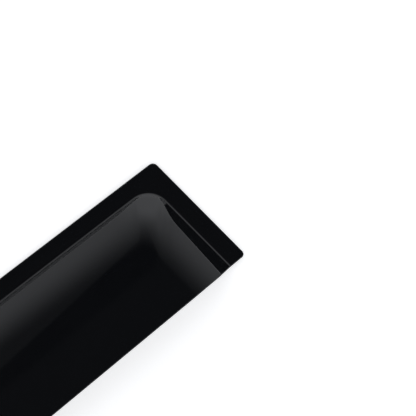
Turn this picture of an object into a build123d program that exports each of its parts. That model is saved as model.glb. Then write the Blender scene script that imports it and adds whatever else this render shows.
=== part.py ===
"""Stick-on window rain deflector: a moulded acrylic visor with foam tape behind its flange.

Millimetres. X runs along the window, Y up the door and Z away from the door. The origin is the
middle of the face that sticks to the door.
"""

import os
from math import cos, radians, sin, sqrt, tan

from build123d import *

# Outline of the visor
length = 560.0  # along the free lower edge
height = 105.0  # from the free lower edge to the top edge
end_slant = 6.4  # degrees that each end leans inwards on its way up
upper_radius = 5.0  # upper corners of the outline
lower_radius = 3.5  # lower corners of the outline
wall = 2.5  # thickness of the moulding

# Flange that lies along the door frame, and the fold where the bulge leaves it
top_flange = 14.1
end_flange = 16.6
fold_corner = 19.0  # corner radius of the fold line, seen from the front
fold_radius = 3.2  # inside the crease, on the front

# Riser, the steep strip between the fold and the bulged face
top_riser_slope = 46.5  # degrees from the flange
end_riser_slope = 38.5

# Bulged face: flat in the middle, with a border that rolls down towards the top and both ends
face_tilt = 1.8  # degrees that the face stands further out towards its lower edge
face_lift = 14.0  # height of the flat above the flange, at the level of the top fold
face_corner = 8.0  # corner radius where the face turns flat
top_border = 55.4  # from the fold to the flat
end_border = 58.2
top_rise = 2.1  # height of the border above the flange, where it reaches the fold
end_rise = 3.4
border_corner = 30.0  # corner radius of the border at its lowest outline
border_overrun = 3.0  # how far below the top fold's height the border is drawn, for the riser to cut
border_outlines = 6  # outlines that the border is drawn through

# Rounding of the moulding
shoulder_radius = 0.5  # between riser and face, on the back
rim_radius = 1.0  # all edges of the outline

# Foam tape
tape_thickness = 1.0
tape_edge_gap = 2.0  # between the outline and the tape
tape_fold_gap = 2.0  # between the fold and the tape
tape_joint_gap = 1.0  # between the strips at the corners

# Places that follow from the sizes
cut_overrun = 20.0  # how far a cutting shape reaches past what it cuts
upright_limit = 1e-6  # largest rise of an upright face's normal
lower_y = -height / 2
top_y = height / 2
back_z = tape_thickness
front_z = back_z + wall
lean = tan(radians(end_slant))
lean_cos = cos(radians(end_slant))
fold_y = top_y - top_flange
fold_half = length / 2 - (fold_y - lower_y) * lean - end_flange / lean_cos
riser_top_z = front_z + face_lift + height * tan(radians(face_tilt))


def leaning_outline(half_at_top, top, bottom):
    """Corners of a shape with a level top and bottom and two leaning ends."""
    half_at_bottom = half_at_top + (top - bottom) * lean
    return [(-half_at_bottom, bottom), (half_at_bottom, bottom), (half_at_top, top), (-half_at_top, top)]


def half_inside_fold(end_inward, top_inward):
    """Half the length of the bulge's top line, moved inwards from the fold at the ends and the top."""
    return fold_half - end_inward / lean_cos + top_inward * lean


def upper_corners(sketch):
    """The two corners at the top of a sketch."""
    return sketch.vertices().group_by(Axis.Y)[-1]


def above_lower_edge(edges):
    """Those of the edges that don't lie in the plane of the free lower edge, or past it."""
    return edges.filter_by(lambda edge: edge.bounding_box().max.Y > lower_y + lower_radius)


def riser_inward(slope, inset, z):
    """How far inside the fold the riser is at a height, its skin moved inwards by the inset."""
    return inset * tan(slope / 2) + (z - front_z + inset) / tan(slope)


def riser(inset, foot_z, lower_end):
    """A block with sloping sides inside the fold, its skin moved inwards by the inset."""
    with BuildPart() as block:
        for z in (foot_z, riser_top_z):
            end_inward = riser_inward(radians(end_riser_slope), inset, z)
            top_inward = riser_inward(radians(top_riser_slope), inset, z)
            with BuildSketch(Plane.XY.offset(z)) as contour:
                with BuildLine():
                    half = half_inside_fold(end_inward, top_inward)
                    Polyline(*leaning_outline(half, fold_y - top_inward, lower_end), close=True)
                make_face()
                fillet(upper_corners(contour), fold_corner)
        loft(ruled=True)
    return block.part


def border_inward(border, rise, inset, drop):
    """How far inside the fold the rolled border is, at a drop below the flat."""
    full_drop = face_lift - rise
    radius = (border**2 + full_drop**2) / (2 * full_drop) - inset
    return border - sqrt(2 * radius * drop - drop**2)


def rolled_face(inset):
    """Everything behind the bulged face, its skin moved inwards by the inset."""
    tilt = radians(face_tilt)
    flat_plane = Plane((0, fold_y, front_z + face_lift), x_dir=(1, 0, 0), z_dir=(0, sin(tilt), cos(tilt)))
    with BuildPart() as block:
        for step in range(border_outlines):
            outwards = 1 - step / (border_outlines - 1)
            drop = (face_lift - top_rise + border_overrun) * outwards**2
            end_inward = border_inward(end_border, end_rise, inset, drop)
            top_inward = border_inward(top_border, top_rise, inset, drop)
            with BuildSketch(flat_plane.offset(-inset - drop)) as contour:
                with BuildLine():
                    half = half_inside_fold(end_inward, top_inward)
                    Polyline(*leaning_outline(half, -top_inward, -height - cut_overrun), close=True)
                make_face()
                fillet(upper_corners(contour), face_corner + (border_corner - face_corner) * outwards)
        loft()
        lowest = block.faces().sort_by(Axis(flat_plane.origin, flat_plane.z_dir))[0]
        extrude(lowest, amount=height, dir=(0, 0, -1))
    return block.part


def bulge(inset, foot_z, lower_end, shoulder):
    """The bulge as a solid block, its skin moved inwards by the inset."""
    riser_block = riser(inset, foot_z, lower_end)
    face_block = rolled_face(inset)
    with BuildPart() as block:
        add(riser_block)
        add(face_block, mode=Mode.INTERSECT)
        fillet(above_lower_edge(block.edges(Select.NEW)), shoulder)
    return block.part


def inside_end(y, inward):
    """Place along X of a line that keeps a distance from the right end of the outline."""
    return length / 2 - (y - lower_y) * lean - inward / lean_cos


os.makedirs("parts", exist_ok=True)

outer_bulge = bulge(0, front_z - wall / 2, lower_y, shoulder_radius + wall)
hollow = bulge(wall, back_z - cut_overrun, lower_y - cut_overrun, shoulder_radius)

with BuildPart() as visor_shell:
    with BuildSketch(Plane.XY.offset(back_z)) as outline:
        with BuildLine():
            Polyline(*leaning_outline(length / 2 - height * lean, top_y, lower_y), close=True)
        make_face()
        fillet(outline.vertices().group_by(Axis.Y)[0], lower_radius)
        fillet(upper_corners(outline), upper_radius)
    extrude(amount=wall)
    add(outer_bulge)
    fillet(above_lower_edge(visor_shell.edges(Select.NEW)), fold_radius)
    add(hollow, mode=Mode.SUBTRACT)
    fillet(above_lower_edge(visor_shell.edges(Select.NEW)), fold_radius + wall)
    rim_faces = visor_shell.faces().filter_by(lambda face: abs(face.normal_at().Z) < upright_limit)
    fillet(rim_faces.edges().filter_by(Axis.Z, reverse=True), rim_radius)
visor_shell.part.label = "visor_shell"
export_step(visor_shell.part, "parts/visor_shell.step")

tape_top_y = top_y - tape_edge_gap
tape_joint_y = fold_y + tape_fold_gap
with BuildPart() as top_tape:
    with BuildSketch():
        with BuildLine():
            half = inside_end(tape_top_y, tape_edge_gap)
            Polyline(*leaning_outline(half, tape_top_y, tape_joint_y), close=True)
        make_face()
    extrude(amount=tape_thickness)
top_tape.part.label = "top_tape"
export_step(top_tape.part, "parts/top_tape.step")

end_tape_top = tape_joint_y - tape_joint_gap
end_tape_bottom = lower_y + tape_edge_gap
with BuildPart() as right_tape:
    with BuildSketch():
        with BuildLine():
            outer = tape_edge_gap
            inner = end_flange - tape_fold_gap
            Polyline(
                (inside_end(end_tape_bottom, outer), end_tape_bottom),
                (inside_end(end_tape_top, outer), end_tape_top),
                (inside_end(end_tape_top, inner), end_tape_top),
                (inside_end(end_tape_bottom, inner), end_tape_bottom),
                close=True,
            )
        make_face()
    extrude(amount=tape_thickness)
right_tape.part.label = "right_tape"
export_step(right_tape.part, "parts/right_tape.step")

with BuildPart() as left_tape:
    mirror(right_tape.part, about=Plane.YZ)
left_tape.part.label = "left_tape"
export_step(left_tape.part, "parts/left_tape.step")
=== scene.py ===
# %% [markdown]
# # A stick-on window rain deflector
#
# The real thing is one moulding of smoked acrylic. A flat flange sticks to the door frame, and from
# it a shallow bulge rises, rolls over and ends at a free lower edge. The finish is black and very
# glossy, so the eye reads the shape only from what the surface mirrors. The lesson therefore spends
# its effort on two things: a skin whose curves are clean, and a light tent worth mirroring.
#
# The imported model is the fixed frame. It gives the real size, and every new piece rides on its body.

from math import cos, degrees, pi, radians, sin, sqrt, tan

import bmesh
import bpy
from mathutils import Matrix, Vector


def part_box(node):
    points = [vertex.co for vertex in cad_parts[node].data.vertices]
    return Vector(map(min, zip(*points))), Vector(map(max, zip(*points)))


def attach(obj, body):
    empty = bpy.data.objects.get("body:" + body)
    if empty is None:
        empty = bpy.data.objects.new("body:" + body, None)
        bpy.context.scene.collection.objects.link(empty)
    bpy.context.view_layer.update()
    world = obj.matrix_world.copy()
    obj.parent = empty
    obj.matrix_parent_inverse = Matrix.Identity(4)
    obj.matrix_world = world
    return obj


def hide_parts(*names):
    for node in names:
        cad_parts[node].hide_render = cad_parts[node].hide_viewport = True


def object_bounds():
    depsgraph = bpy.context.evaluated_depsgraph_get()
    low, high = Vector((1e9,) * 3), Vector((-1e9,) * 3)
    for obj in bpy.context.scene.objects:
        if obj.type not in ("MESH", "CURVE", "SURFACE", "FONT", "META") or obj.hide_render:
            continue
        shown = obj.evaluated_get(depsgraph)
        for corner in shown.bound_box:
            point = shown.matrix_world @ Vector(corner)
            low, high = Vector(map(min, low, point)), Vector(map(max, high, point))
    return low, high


millimetre = 0.001

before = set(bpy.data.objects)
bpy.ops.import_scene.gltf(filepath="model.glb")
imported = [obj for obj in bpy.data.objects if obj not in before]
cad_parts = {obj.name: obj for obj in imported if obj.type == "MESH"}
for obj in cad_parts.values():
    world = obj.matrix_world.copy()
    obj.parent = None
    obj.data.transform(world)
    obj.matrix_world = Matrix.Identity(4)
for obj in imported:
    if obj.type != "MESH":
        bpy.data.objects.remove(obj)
cad_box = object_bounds()
print("nodes:", sorted(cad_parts))
print("size in mm:", [round(side / millimetre, 1) for side in cad_box[1] - cad_box[0]])

# %% [markdown]
# ## The camera
#
# The photograph was taken from above. The lens stands over the middle of the visor and looks past
# it to one end, so that only this end is in the picture. Three turns say it all: a tilt away from
# the vertical towards +X, a slight nod towards +Y, and a roll about the line of sight. The long lens
# keeps the straight edges from spreading, as in the photograph.

# %% Camera
camera_place = Vector((0.0015, -0.0101, 0.8444))
camera_tilt = radians(18.285)
camera_nod = radians(0.38)
camera_roll = radians(38.675)
camera_lens = 95.0

camera_data = bpy.data.cameras.new("photo_camera")
camera_data.lens = camera_lens
camera = bpy.data.objects.new("photo_camera", camera_data)
aim = Matrix.Rotation(-camera_tilt, 4, "Y") @ Matrix.Rotation(camera_nod, 4, "X")
roll = Matrix.Rotation(-camera_roll, 4, "Z")
camera.matrix_world = Matrix.Translation(camera_place) @ aim @ roll
bpy.context.scene.collection.objects.link(camera)
bpy.context.scene.camera = camera
bpy.context.scene.view_settings.view_transform = "Standard"
print("camera at", [round(value, 3) for value in camera_place])

# %% [markdown]
# ## Small helpers
#
# A node tree reads best when each line adds one node, sets its plain values and names what feeds
# it. The first helper does that, and the second gives a material or the world an empty tree to start
# from. The third turns a finished bmesh into an object at the origin, because the frame keeps every
# place in the mesh itself.

# %% Helpers
def add_node(tree, kind, links=None, **values):
    """Adds a node, sets its properties and then links or sets its inputs."""
    node = tree.nodes.new(kind)
    for name, value in values.items():
        setattr(node, name, value)
    for name, source in (links or {}).items():
        if isinstance(source, bpy.types.NodeSocket):
            tree.links.new(source, node.inputs[name])
        else:
            node.inputs[name].default_value = source
    return node


def new_tree(block):
    """An empty node tree of a material or of the world."""
    block.use_nodes = True
    block.node_tree.nodes.clear()
    return block.node_tree


def add_piece(name, mesh_work, material):
    """Makes an object of a bmesh, with smooth faces and one material."""
    mesh = bpy.data.meshes.new(name)
    mesh_work.to_mesh(mesh)
    mesh_work.free()
    mesh.shade_smooth()
    mesh.materials.append(material)
    piece = bpy.data.objects.new(name, mesh)
    bpy.context.scene.collection.objects.link(piece)
    print(name, "has", len(mesh.polygons), "faces")
    return piece


# %% [markdown]
# ## The light tent
#
# Black gloss shows next to nothing of its own colour. It shows its surroundings at about a
# twenty-fifth of their brightness, so those surroundings are built first. Such parts are
# photographed in a tent of white cloth with an opening at the top, for the lens. The flat faces
# mirror the dark opening and come out black, and the rolled border turns towards the white cloth and
# comes out grey. The edge of the opening is soft, and so is the edge of the grey band.
#
# Area lamps could do this too, but they have hard edges. A sky that depends on little more than the
# angle from the vertical needs one arccosine and one smooth step. Three changes make it less even,
# by smooth steps too, and a place in this sky is named by the x and y of its direction. The opening
# is darkest towards +Y, where the flat face looks, and a little lighter straight above, where the
# flange looks. The cloth's hem hangs into the opening on two sides, and its edge ends the grey bands
# with a faint tail. On the side of +Y the hem slants, so the tail along the top widens towards the
# middle. The cloth is brightest between +X and +Y, as if a lamp stood behind it there, so the corner
# of the bulge is the lightest place.

# %% Light tent
opening_edge = radians(25.8)
cloth_start = radians(50)
above_light = 0.057
ahead_light = 0.034
above_y = sin(radians(3))
ahead_y = sin(radians(7.5))
hem_light = 0.105
hem_slant = 0.9  # steps along Y for each step along X
top_hem_edge = 0.205  # of y less the slant times x
top_hem_start = 0.230
end_hem_edge = 0.445  # of x
end_hem_start = 0.475
cloth_colour = (0.94, 0.96, 1.0, 1)
cloth_light = 0.89
lamp_light = 1.28
lamp_edge = 0.17  # of x times y
lamp_middle = 0.30

world = bpy.data.worlds.new("light_tent")
bpy.context.scene.world = world
tree = new_tree(world)
direction = add_node(tree, "ShaderNodeTexCoord").outputs["Generated"]
axes = add_node(tree, "ShaderNodeSeparateXYZ", {"Vector": direction}).outputs
angle = add_node(tree, "ShaderNodeMath", {0: axes["Z"]}, operation="ARCCOSINE").outputs["Value"]
diagonal = add_node(
    tree,
    "ShaderNodeMath",
    {0: axes["X"], 1: axes["Y"]},
    operation="MULTIPLY",
).outputs["Value"]
slanted = add_node(
    tree,
    "ShaderNodeMath",
    {0: axes["X"], 1: -hem_slant, 2: axes["Y"]},
    operation="MULTIPLY_ADD",
).outputs["Value"]


def add_step(value, start, end, low, high):
    """A smooth step of the tent's light, from low to high."""
    links = {"Value": value, "From Min": start, "From Max": end, "To Min": low, "To Max": high}
    node = add_node(tree, "ShaderNodeMapRange", links, interpolation_type="SMOOTHSTEP")
    return node.outputs["Result"]


opening = add_step(axes["Y"], above_y, ahead_y, above_light, ahead_light)
opening = add_step(slanted, top_hem_edge, top_hem_start, opening, hem_light)
opening = add_step(axes["X"], end_hem_edge, end_hem_start, opening, hem_light)
cloth = add_step(diagonal, lamp_edge, lamp_middle, cloth_light, lamp_light)
light = add_step(angle, opening_edge, cloth_start, opening, cloth)
background = add_node(tree, "ShaderNodeBackground", {"Color": cloth_colour, "Strength": light})
add_node(tree, "ShaderNodeOutputWorld", {"Surface": background.outputs["Background"]})
print("the tent is white from", round(degrees(cloth_start)), "degrees off the vertical")

# %% [markdown]
# ## The floor
#
# The part lies on a white sheet that curves up into a low wall all round, as in a studio. A plain
# plane would do for a view from above, but a low view would show its far edge, so the sheet curves up
# there. A spun profile makes floor and wall in one go. The sheet scatters light as paint does, so it
# keeps the shadow of the part. For the lens, and for mirrored and refracted rays, it also glows, which
# brings it up to white.

# %% Floor
floor_radius = 6.0
floor_curve = 0.5
wall_height = 1.6
floor_gap = 0.0002
floor_colour = (0.82, 0.82, 0.82, 1)
glow_colour = (1, 1, 1, 1)
floor_glow = 0.60
curve_steps = 6
spin_steps = 64

floor_material = bpy.data.materials.new("white_sheet")
tree = new_tree(floor_material)
rays = add_node(tree, "ShaderNodeLightPath").outputs
seen = add_node(
    tree,
    "ShaderNodeMath",
    {0: rays["Is Camera Ray"], 1: rays["Is Glossy Ray"]},
    operation="MAXIMUM",
).outputs["Value"]
seen = add_node(
    tree,
    "ShaderNodeMath",
    {0: seen, 1: rays["Is Transmission Ray"]},
    operation="MAXIMUM",
).outputs["Value"]
glow = add_node(tree, "ShaderNodeMath", {0: seen, 1: floor_glow}, operation="MULTIPLY").outputs["Value"]
paint = add_node(tree, "ShaderNodeBsdfDiffuse", {"Color": floor_colour})
shine = add_node(tree, "ShaderNodeEmission", {"Color": glow_colour, "Strength": glow})
both = add_node(tree, "ShaderNodeAddShader", {0: paint.outputs["BSDF"], 1: shine.outputs["Emission"]})
add_node(tree, "ShaderNodeOutputMaterial", {"Surface": both.outputs["Shader"]})

sheet = bmesh.new()
profile = [Vector((0, 0, 0))]
for step in range(curve_steps + 1):
    bend = radians(90) * step / curve_steps
    profile.append(
        Vector((floor_radius + floor_curve * sin(bend), 0, floor_curve * (1 - cos(bend))))
    )
profile.append(Vector((floor_radius + floor_curve, 0, wall_height)))
points = [sheet.verts.new(point - Vector((0, 0, floor_gap))) for point in profile]
chain = [sheet.edges.new(pair) for pair in zip(points, points[1:])]
bmesh.ops.spin(
    sheet,
    geom=points + chain,
    cent=(0, 0, 0),
    axis=(0, 0, 1),
    angle=2 * pi,
    steps=spin_steps,
    use_merge=True,
)
bmesh.ops.remove_doubles(sheet, verts=sheet.verts, dist=floor_gap)
bmesh.ops.recalc_face_normals(sheet, faces=sheet.faces)
add_piece("studio_floor", sheet, floor_material)

# %% [markdown]
# ## Flags
#
# The steep riser round the bulge would mirror the white sheet beside it and come out as a bright
# stripe. A photographer puts a card there, called a flag, to keep such a stripe dark. A black one
# stands along each end. It stops short of the corner and is cut at a slant there, so the dark stripe
# ends in a point. A short pale one just behind it takes the glare off the riser past that point, and
# a low grey one stands along the top edge. A duller finish on the riser could hide the stripe too,
# but it would be wrong under any other light. Only mirrored rays meet the flags, so they neither show
# nor cast a shadow. The places below are those at the right end, and the left end gets the same,
# mirrored.

# %% Flags
black_foot = (0.300, -0.070)
black_head = (0.290, 0.0215)
black_overhang = 0.008
black_height = 0.014
black_tone = 0.05
pale_foot = (0.2915, 0.015)
pale_head = (0.288, 0.038)
pale_height = 0.012
pale_tone = 0.90
grey_end = 0.270
grey_y = 0.064
grey_height = 0.010
grey_tone = 0.80


def add_flag(name, foot, head, height, overhang, tone):
    """An upright card between two places on the floor, cut at a slant over its head."""
    material = bpy.data.materials.new(name)
    tree = new_tree(material)
    paint = add_node(tree, "ShaderNodeBsdfDiffuse", {"Color": (tone, tone, tone, 1)})
    add_node(tree, "ShaderNodeOutputMaterial", {"Surface": paint.outputs["BSDF"]})
    card = bmesh.new()
    base = card.edges.new([card.verts.new((x, y, 0)) for x, y in (foot, head)])
    drawn = bmesh.ops.extrude_edge_only(card, edges=[base])["geom"]
    upper = [item for item in drawn if isinstance(item, bmesh.types.BMVert)]
    bmesh.ops.translate(card, verts=upper, vec=(0, 0, height))
    over_head = max(upper, key=lambda corner: corner.co.y)
    bmesh.ops.translate(card, verts=[over_head], vec=(0, overhang, 0))
    flag = add_piece(name, card, material)
    flag.visible_camera = False
    flag.visible_diffuse = False
    flag.visible_transmission = False
    flag.visible_shadow = False


for side, turn in (("right", 1), ("left", -1)):
    foot, head = [(turn * x, y) for x, y in (black_foot, black_head)]
    add_flag(side + "_black_flag", foot, head, black_height, black_overhang, black_tone)
    foot, head = [(turn * x, y) for x, y in (pale_foot, pale_head)]
    add_flag(side + "_pale_flag", foot, head, pale_height, 0, pale_tone)
add_flag("grey_flag", (-grey_end, grey_y), (grey_end, grey_y), grey_height, 0, grey_tone)

# %% [markdown]
# ## Grain that several finishes share
#
# No moulding is perfectly even. A node group makes one kind of soft mottle, from noise on Object
# coordinates, and each finish takes it at its own scale. It puts out a value only, so each material
# decides for itself what the mottle does.

# %% Mottle group
mottle = bpy.data.node_groups.new("mottle", "ShaderNodeTree")
mottle.interface.new_socket("Size", in_out="INPUT", socket_type="NodeSocketFloat")
mottle.interface.new_socket("Detail", in_out="INPUT", socket_type="NodeSocketFloat")
mottle.interface.new_socket("Value", in_out="OUTPUT", socket_type="NodeSocketFloat")
given = add_node(mottle, "NodeGroupInput").outputs
place = add_node(mottle, "ShaderNodeTexCoord").outputs["Object"]
per_metre = add_node(mottle, "ShaderNodeMath", {0: 1.0, 1: given["Size"]}, operation="DIVIDE")
noise = add_node(
    mottle,
    "ShaderNodeTexNoise",
    {"Vector": place, "Scale": per_metre.outputs["Value"], "Detail": given["Detail"]},
)
add_node(mottle, "NodeGroupOutput", {"Value": noise.outputs["Fac"]})


def add_mottle(tree, size, detail):
    """The mottle group in a material, with grains of the given size in metres."""
    links = {"Size": size, "Detail": detail}
    return add_node(tree, "ShaderNodeGroup", links, node_tree=mottle).outputs["Value"]


print("mottle group has", len(mottle.nodes), "nodes")

# %% [markdown]
# ## Smoked acrylic
#
# The acrylic is tinted through and polished by its mould. Up close it has a slow ripple, as all
# moulded gloss has, and a faint haze that comes and goes. The ripple goes into a bump of a hundredth
# of a millimetre, which is much finer than the skin's polygons could carry, and the haze into the
# roughness. The index of refraction is that of acrylic, which sets how strongly the tent is mirrored.

# %% Smoked acrylic
acrylic_index = 1.49
tint_dark = (0.0028, 0.0032, 0.0042, 1)
tint_light = (0.0034, 0.0038, 0.0048, 1)
tint_detail = 3.0
haze_size = 45 * millimetre
haze_detail = 5.0
haze_low = 0.03
haze_high = 0.07
ripple_size = 12 * millimetre
ripple_detail = 1.0
ripple_depth = 0.01 * millimetre
mottle_low = 0.3  # nearly all of a mottle's values lie between these two
mottle_high = 0.7


def add_ramp(tree, value, low, high):
    """A colour ramp from low to high, over the middle of a mottle's range."""
    ramp = add_node(tree, "ShaderNodeValToRGB", {"Fac": value})
    low_end, high_end = ramp.color_ramp.elements
    low_end.position = mottle_low
    low_end.color = low
    high_end.position = mottle_high
    high_end.color = high
    return ramp.outputs["Color"]


acrylic = bpy.data.materials.new("smoked_acrylic_gloss")
tree = new_tree(acrylic)
tint = add_ramp(tree, add_mottle(tree, haze_size, tint_detail), tint_dark, tint_light)
haze = add_node(
    tree,
    "ShaderNodeMapRange",
    {
        "Value": add_mottle(tree, haze_size, haze_detail),
        "From Min": mottle_low,
        "From Max": mottle_high,
        "To Min": haze_low,
        "To Max": haze_high,
    },
).outputs["Result"]
ripple = add_node(
    tree,
    "ShaderNodeBump",
    {"Height": add_mottle(tree, ripple_size, ripple_detail), "Strength": 1.0, "Distance": ripple_depth},
).outputs["Normal"]
gloss = add_node(
    tree,
    "ShaderNodeBsdfPrincipled",
    {"Base Color": tint, "Roughness": haze, "IOR": acrylic_index, "Normal": ripple},
)
add_node(tree, "ShaderNodeOutputMaterial", {"Surface": gloss.outputs["BSDF"]})
print("smoked acrylic has", len(tree.nodes), "nodes")

# %% [markdown]
# ## The visor's plan
#
# Seen from the front, the visor is three lines nested in each other: its outline, the fold where the
# bulge leaves the flange, and the line where the bulge turns flat. Each line runs up one end, round
# a corner and along the top, so one function makes all three, each with its own distances and corner
# radius. They have equally many points, so that ribs can be stretched from line to line.
#
# The two halves are alike, so only the right one is modelled, and mirrored later.

# %% Plan lines
lower_y = cad_box[0].y
top_y = cad_box[1].y
half_length = 280 * millimetre
end_slant = radians(6.4)
upper_radius = 5.0 * millimetre
end_flange = 16.6 * millimetre
top_flange = 14.1 * millimetre
fold_corner = 19 * millimetre
face_corner = 8 * millimetre
end_border = 58.2 * millimetre
top_border = 55.4 * millimetre
end_steps = 14
corner_steps = 24
top_steps = 32


def end_x(y, inset):
    """Place along X of a line that keeps a distance from the visor's right end."""
    return half_length - (y - lower_y) * tan(end_slant) - inset / cos(end_slant)


def plan_line(end_inset, top_inset, radius):
    """Points of a line inside the outline: up the right end, round the corner, to the middle."""
    top = top_y - top_inset
    rounding = radius * tan((radians(90) - end_slant) / 2)
    centre = Vector((end_x(top, end_inset) - rounding, top - radius))
    arc = []
    for step in range(corner_steps + 1):
        angle = end_slant + (radians(90) - end_slant) * step / corner_steps
        arc.append(centre + radius * Vector((cos(angle), sin(angle))))
    foot = Vector((end_x(lower_y, end_inset), lower_y))
    end = [foot.lerp(arc[0], step / end_steps) for step in range(end_steps)]
    middle = Vector((0, top))
    along_top = [arc[-1].lerp(middle, (step + 1) / top_steps) for step in range(top_steps)]
    return end + arc + along_top


outline_line = plan_line(0, 0, upper_radius)
fold_line = plan_line(end_flange, top_flange, fold_corner)
flat_line = plan_line(end_flange + end_border, top_flange + top_border, face_corner)
turned = [min(max(step - end_steps, 0) / corner_steps, 1) for step in range(len(fold_line))]
print("each plan line has", len(fold_line), "points")

# %% [markdown]
# ## Ribs
#
# A rib is a cut through the visor from its outline inwards, like a frame of a boat. It has few
# points: the outline and the fold on the flange, the shoulder where the steep riser meets the face,
# and a row of points up the rolled border to the flat. The border is an arc that ends at a small
# rise above the fold. The face stands further out the lower it gets, so the riser grows down the
# ends, and the shoulder is found where the heights of riser and face agree. Some rounds of putting
# one into the other settle that.
#
# Round the upper corner the riser all but vanishes. The border dips away there, by a high power of
# the distance outside the flat, so that it keeps its roll further in. The dip is deepest at one place
# of the corner and for a short reach beside it. It fades quickly along the end and slowly along the
# top, and the riser keeps a least width, so that the bevels of fold and shoulder have room.

# %% Ribs
outline_row = 0  # places of a rib's first points
fold_row = 1
shoulder_row = 2
wall = 2.5 * millimetre
tape_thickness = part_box("top_tape")[1].z
front_z = tape_thickness + wall
fold_y = top_y - top_flange
end_riser_slope = radians(38.5)
top_riser_slope = radians(46.5)
end_rise = 3.4 * millimetre
top_rise = 2.1 * millimetre
corner_rise = 0.2 * millimetre
low_turn = 0.34  # share of the corner's turn at which the riser is lowest
low_reach = 4.4 * millimetre
end_fade = 18 * millimetre
top_fade = 35 * millimetre
least_riser = 2.2 * millimetre
dip_power = 4
face_tilt = radians(1.8)
face_lift = 14.0 * millimetre
border_steps = 18
settling_rounds = 30


def face_height(outside, border, drop, dip, y):
    """Height of the bulged face over the flange, at a distance outside its flat."""
    radius = (border**2 + drop**2) / (2 * drop)
    roll = radius - sqrt(radius**2 - outside**2)
    return face_lift + (fold_y - y) * tan(face_tilt) - roll - dip * (outside / border) ** dip_power


def between(end_value, top_value, turned):
    """A size on the way from the visor's end to its top."""
    return end_value + (top_value - end_value) * turned


along_fold = [0]
for here, there in zip(fold_line, fold_line[1:]):
    along_fold.append(along_fold[-1] + (there - here).length)
low_place = along_fold[end_steps + round(corner_steps * low_turn)]


def lowness(along):
    """1 in the corner, where the riser is lowest, and 0 well away from it."""
    fade = top_fade if along > low_place else end_fade
    share = (abs(along - low_place) - low_reach) / fade
    share = min(max(share, 0), 1)
    return 1 - share**2 * (3 - 2 * share)


def rib(outline, fold, flat, turned, along):
    """Points of one rib, from the outline to the flat of the face."""
    border = between(end_border, top_border, turned)
    slope = between(end_riser_slope, top_riser_slope, turned)
    rise = between(end_rise, top_rise, turned)
    drop = face_lift - rise
    dip = (rise - corner_rise) * lowness(along)
    shoulder = 0
    for _ in range(settling_rounds):
        y = fold.lerp(flat, shoulder / border).y
        shoulder = face_height(border - shoulder, border, drop, dip, y) / tan(slope)
    shoulder = max(shoulder, least_riser)
    points = [outline.to_3d(), fold.to_3d()]
    for step in range(border_steps + 1):
        outside = (border - shoulder) * (1 - step / border_steps)
        place = flat.lerp(fold, outside / border)
        height = face_height(outside, border, drop, dip, place.y)
        points.append(Vector((place.x, place.y, height)))
    return [point + Vector((0, 0, front_z)) for point in points]


ribs = [rib(*places) for places in zip(outline_line, fold_line, flat_line, turned, along_fold)]
print(len(ribs), "ribs of", len(ribs[0]), "points")
for name, points in (("lower end", ribs[0]), ("top", ribs[-1])):
    print("riser height in mm,", name, round((points[shoulder_row].z - front_z) / millimetre, 1))

# %% [markdown]
# ## The skin
#
# Bridging each rib to the next gives the skin, with no list of faces to get wrong, and a mirror gives
# the other half. The fold and the shoulder are still sharp, so both rows of edges get a bevel of a few
# segments. The shoulder's radius is larger than the wall, so that its back is still round once the
# wall is there. The flat of the face is one polygon inside the last row, with a narrow inset, so that
# the shading of the border doesn't bleed into it. Its top side is a row of points in one line, which
# a simple split into triangles would turn into slivers, so it is split here by the method that looks
# for good ones.
#
# A layer of whole numbers marks which row a point belongs to, and the mirror copies it, so the rows
# are easy to find again.

# %% Skin
flat_row = len(ribs[0]) - 1
fold_radius = 3.2 * millimetre
shoulder_radius = 3.0 * millimetre
shoulder_turn = radians(25)
round_steps = 6
flat_border = 3 * millimetre
weld = 0.01 * millimetre

skin = bmesh.new()
row_of = skin.verts.layers.int.new("row")
last_chain = None
for points in ribs:
    corners = [skin.verts.new(point) for point in points]
    for row, corner in enumerate(corners):
        corner[row_of] = row
    chain = [skin.edges.new(pair) for pair in zip(corners, corners[1:])]
    if last_chain:
        bmesh.ops.bridge_loops(skin, edges=last_chain + chain)
    last_chain = chain
bmesh.ops.mirror(
    skin,
    geom=skin.verts[:] + skin.edges[:] + skin.faces[:],
    axis="X",
    merge_dist=weld,
)


def edges_of_row(row):
    """The edges that run along one row of the skin."""
    return [edge for edge in skin.edges if all(corner[row_of] == row for corner in edge.verts)]


flat_edges = edges_of_row(flat_row)
feet = [corner for corner in skin.verts if corner[row_of] == flat_row and corner.co.y < lower_y + weld]
lower_edge = skin.edges.new(feet)
flat_face = bmesh.ops.contextual_create(skin, geom=flat_edges + [lower_edge])["faces"]
bmesh.ops.recalc_face_normals(skin, faces=skin.faces)
if flat_face[0].normal.z < 0:
    bmesh.ops.reverse_faces(skin, faces=skin.faces)
bmesh.ops.inset_region(skin, faces=flat_face, thickness=flat_border, use_even_offset=True)
bmesh.ops.triangulate(skin, faces=flat_face, quad_method="BEAUTY", ngon_method="BEAUTY")
for row, radius, bend in (
    (shoulder_row, shoulder_radius, shoulder_turn),
    (fold_row, fold_radius, end_riser_slope),
):
    bmesh.ops.bevel(
        skin,
        geom=edges_of_row(row),
        offset=radius * tan(bend / 2),
        segments=round_steps,
        profile=0.5,
        affect="EDGES",
        material=-1,
    )
print("skin has", len(skin.faces), "faces")

# %% [markdown]
# ## The wall and its rim
#
# The lower corners of the outline are rounded by a bevel of their two vertices. The back could be a
# second skin of its own, but a Solidify modifier is simpler. It moves each point back along its own
# normal, so the rounded fold and shoulder stay parallel on both sides. A Bevel modifier rounds the
# rim, and Weighted Normal lets the large flat faces keep their true shading right up to the rounded
# edges.

# %% Wall and rim
lower_radius = 3.5 * millimetre
rim_radius = 1.0 * millimetre
rim_steps = 4
rim_angle = radians(55)
corner_turn = radians(90) + end_slant

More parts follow.
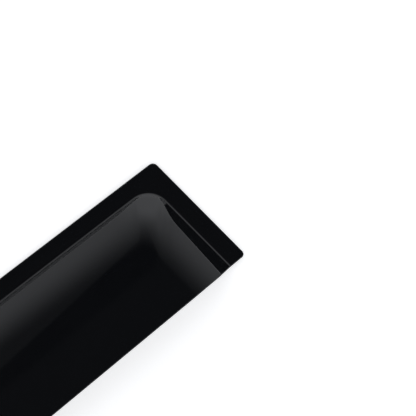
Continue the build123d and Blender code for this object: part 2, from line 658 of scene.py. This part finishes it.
low_corners = [
    corner
    for corner in skin.verts
    if corner[row_of] == outline_row and corner.co.y < lower_y + weld
]
bmesh.ops.bevel(
    skin,
    geom=low_corners,
    offset=lower_radius * tan(corner_turn / 2),
    segments=round_steps,
    profile=0.5,
    affect="VERTICES",
    material=-1,
)
visor = add_piece("moulded_visor", skin, acrylic)
thickness = visor.modifiers.new("wall", "SOLIDIFY")
thickness.thickness = wall
thickness.offset = -1
thickness.use_even_offset = True
thickness.use_quality_normals = True
rim = visor.modifiers.new("rim", "BEVEL")
rim.width = rim_radius
rim.segments = rim_steps
rim.limit_method = "ANGLE"
rim.angle_limit = rim_angle
shading = visor.modifiers.new("shading", "WEIGHTED_NORMAL")
shading.keep_sharp = True
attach(visor, "root")
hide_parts("visor_shell")
print("rounded", len(low_corners), "lower corners")

# %% [markdown]
# ## Foam
#
# Three strips of black foam tape hold the visor on the door. Where foam is cut, its surface is full
# of tiny open cells. Modelling them would take a great many polygons on a piece that faces the door,
# so a Voronoi texture gives the cells and a bump sinks them. The soot that blackens the foam is never
# quite even, and the mottle takes care of that.

# %% Foam finish
cell_size = 0.6 * millimetre
cell_depth = 0.08 * millimetre
cell_strength = 0.8
soot_dark = (0.020, 0.020, 0.021, 1)
soot_light = (0.034, 0.034, 0.035, 1)
soot_size = 4 * millimetre
soot_detail = 4.0
foam_roughness = 0.9

foam = bpy.data.materials.new("foam_tape_matt")
tree = new_tree(foam)
place = add_node(tree, "ShaderNodeTexCoord").outputs["Object"]
cells = add_node(
    tree,
    "ShaderNodeTexVoronoi",
    {"Vector": place, "Scale": 1 / cell_size},
).outputs["Distance"]
pits = add_node(
    tree,
    "ShaderNodeBump",
    {"Height": cells, "Strength": cell_strength, "Distance": cell_depth},
).outputs["Normal"]
soot = add_ramp(tree, add_mottle(tree, soot_size, soot_detail), soot_dark, soot_light)
matt = add_node(
    tree,
    "ShaderNodeBsdfPrincipled",
    {"Base Color": soot, "Roughness": foam_roughness, "Normal": pits},
)
add_node(tree, "ShaderNodeOutputMaterial", {"Surface": matt.outputs["BSDF"]})
print("foam has", len(tree.nodes), "nodes")

# %% [markdown]
# ## Tape strips
#
# One strip lies behind each stretch of the flange, a little inside its edges, and the strips stop
# short of each other at the corners. The tape is cut with a knife, so it has plain ends and edges
# that are only a little soft. A stretched cube would be the quickest strip, but its ends couldn't
# lean as the visor's ends do. Each strip is one polygon instead, drawn up to its thickness and
# bevelled.

# %% Tape strips
tape_edge_gap = 2 * millimetre
tape_fold_gap = 2 * millimetre
tape_joint_gap = 1 * millimetre
tape_softness = 0.2 * millimetre
tape_round_steps = 3

strip_top = top_y - tape_edge_gap
joint_y = fold_y + tape_fold_gap
end_top = joint_y - tape_joint_gap
end_foot = lower_y + tape_edge_gap
outer = tape_edge_gap
inner = end_flange - tape_fold_gap
top_plan = [
    (-end_x(joint_y, outer), joint_y),
    (end_x(joint_y, outer), joint_y),
    (end_x(strip_top, outer), strip_top),
    (-end_x(strip_top, outer), strip_top),
]
right_plan = [
    (end_x(end_foot, inner), end_foot),
    (end_x(end_foot, outer), end_foot),
    (end_x(end_top, outer), end_top),
    (end_x(end_top, inner), end_top),
]
left_plan = [(-x, y) for x, y in reversed(right_plan)]


def add_strip(name, plan, node):
    """A strip of foam tape with soft edges, in place of its plain solid."""
    strip = bmesh.new()
    base = strip.faces.new([strip.verts.new((x, y, 0)) for x, y in plan])
    drawn = bmesh.ops.extrude_face_region(strip, geom=[base])["geom"]
    upper = [item for item in drawn if isinstance(item, bmesh.types.BMVert)]
    bmesh.ops.translate(strip, verts=upper, vec=(0, 0, tape_thickness))
    bmesh.ops.recalc_face_normals(strip, faces=strip.faces)
    bmesh.ops.bevel(
        strip,
        geom=strip.edges[:],
        offset=tape_softness,
        segments=tape_round_steps,
        profile=0.5,
        affect="EDGES",
        material=-1,
    )
    piece = add_piece(name, strip, foam)
    shading = piece.modifiers.new("shading", "WEIGHTED_NORMAL")
    shading.keep_sharp = True
    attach(piece, "root")
    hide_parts(node)


add_strip("top_foam_strip", top_plan, "top_tape")
add_strip("right_foam_strip", right_plan, "right_tape")
add_strip("left_foam_strip", left_plan, "left_tape")
